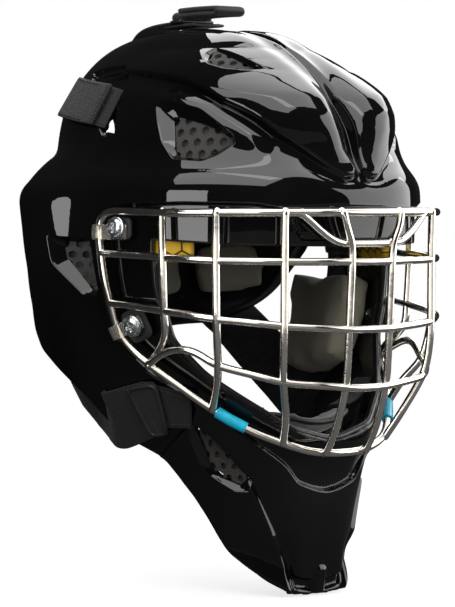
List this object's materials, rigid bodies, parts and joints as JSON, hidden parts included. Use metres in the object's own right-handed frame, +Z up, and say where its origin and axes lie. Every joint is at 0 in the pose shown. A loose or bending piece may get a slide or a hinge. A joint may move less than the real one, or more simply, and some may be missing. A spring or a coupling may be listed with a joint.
{
  "type": "goalie mask",
  "caption": "Hockey goalie mask: moulded shell with vents, chromed wire cage on clips, hinged backplate, strap harness and foam liner.",
  "frame": {"origin": "centre of the flat foot under the chin", "axes": "+Z up, the mask faces -Y, -X is the wearer's right"},
  "size_m": [0.239, 0.247, 0.3396],
  "materials": {
    "shell_gloss": "polished gloss black",
    "backplate_plastic": "satin black moulding",
    "cage_chrome": "bright plated wire",
    "zinc": "zinc plated",
    "clear_clip": "clear moulded",
    "black_rubber": "matte",
    "webbing": "ribbed elastic webbing",
    "olive_foam": "closed-cell foam",
    "dark_foam": "closed-cell foam",
    "yellow_foam": "impact foam",
    "grey_fabric": "brushed fabric",
    "blue_sleeve": "printed-free sleeve"
  },
  "bodies": {
    "shell": {"main_shell": "shell_gloss", "cage": "cage_chrome", "forehead_pad": "dark_foam", "sweatband": "grey_fabric", "crown_pad": "dark_foam", "top_strap_mount": "black_rubber", "top_strap_loop": "black_rubber", "cage_clip_upper_left": "clear_clip", "cage_clip_lower_left": "clear_clip", "clip_rubber_upper_left": "black_rubber", "clip_rubber_lower_left": "black_rubber", "cage_screw_upper_left": "zinc", "cage_screw_lower_left": "zinc", "tee_nut_upper_left": "zinc", "tee_nut_lower_left": "zinc", "brow_pad_left": "yellow_foam", "temple_pad_left": "dark_foam", "cheek_pad_left": "olive_foam", "jaw_pad_left": "dark_foam", "ear_pad_left": "dark_foam", "lower_strap_left": "webbing", "wire_sleeve_left": "blue_sleeve", "cage_clip_upper_right": "clear_clip", "cage_clip_lower_right": "clear_clip", "clip_rubber_upper_right": "black_rubber", "clip_rubber_lower_right": "black_rubber", "cage_screw_upper_right": "zinc", "cage_screw_lower_right": "zinc", "tee_nut_upper_right": "zinc", "tee_nut_lower_right": "zinc", "brow_pad_right": "yellow_foam", "temple_pad_right": "dark_foam", "cheek_pad_right": "olive_foam", "jaw_pad_right": "dark_foam", "ear_pad_right": "dark_foam", "lower_strap_right": "webbing", "wire_sleeve_right": "blue_sleeve"},
    "backplate": {"backplate": "backplate_plastic", "rear_pad_left": "olive_foam", "rear_pad_right": "olive_foam", "rear_pad_centre": "olive_foam", "occipital_pad": "dark_foam", "top_strap": "webbing", "side_strap_left": "webbing", "side_strap_right": "webbing"},
    "chin_cup": {"chin_cup": "grey_fabric", "chin_strap_left": "webbing", "chin_strap_right": "webbing"},
    "top_tab": {"top_tab": "webbing"},
    "side_tab_right": {"side_tab_right": "webbing"},
    "side_tab_left": {"side_tab_left": "webbing"},
    "lower_buckle_right": {"lower_buckle_right": "black_rubber"},
    "lower_buckle_left": {"lower_buckle_left": "black_rubber"}
  },
  "joints": [
    {"name": "backplate_swing", "type": "hinge", "parent": "shell", "child": "backplate", "pos_m": [0, 0.149, 0.322], "axis": [1, 0, 0], "range_deg": [0, 15], "stiffness_Nm_per_rad": 3},
    {"name": "chin_cup_swing", "type": "hinge", "parent": "shell", "child": "chin_cup", "pos_m": [0, 0.019, 0.118], "axis": [1, 0, 0], "range_deg": [-8, 8], "stiffness_Nm_per_rad": 0.2},
    {"name": "top_tab_peel", "type": "hinge", "parent": "shell", "child": "top_tab", "pos_m": [0, 0.11, 0.3352], "axis": [-1, 0, 0], "range_deg": [0, 70], "stiffness_Nm_per_rad": 0.2},
    {"name": "side_tab_right_peel", "type": "hinge", "parent": "shell", "child": "side_tab_right", "pos_m": [-0.07611, 0.0983, 0.27911], "axis": [0.4611, -0.1569, 0.8734], "range_deg": [0, 55], "stiffness_Nm_per_rad": 0.2},
    {"name": "side_tab_left_peel", "type": "hinge", "parent": "shell", "child": "side_tab_left", "pos_m": [0.07611, 0.0983, 0.27911], "axis": [0.4611, 0.1569, -0.8734], "range_deg": [0, 55], "stiffness_Nm_per_rad": 0.2},
    {"name": "lower_buckle_right_slide", "type": "slide", "parent": "shell", "child": "lower_buckle_right", "axis": [-0.1392, 0.9508, -0.2768], "range_m": [-0.004, 0.006], "stiffness_N_per_m": 60},
    {"name": "lower_buckle_left_slide", "type": "slide", "parent": "shell", "child": "lower_buckle_left", "axis": [0.1392, 0.9508, -0.2768], "range_m": [-0.004, 0.006], "stiffness_N_per_m": 60}
  ]
}
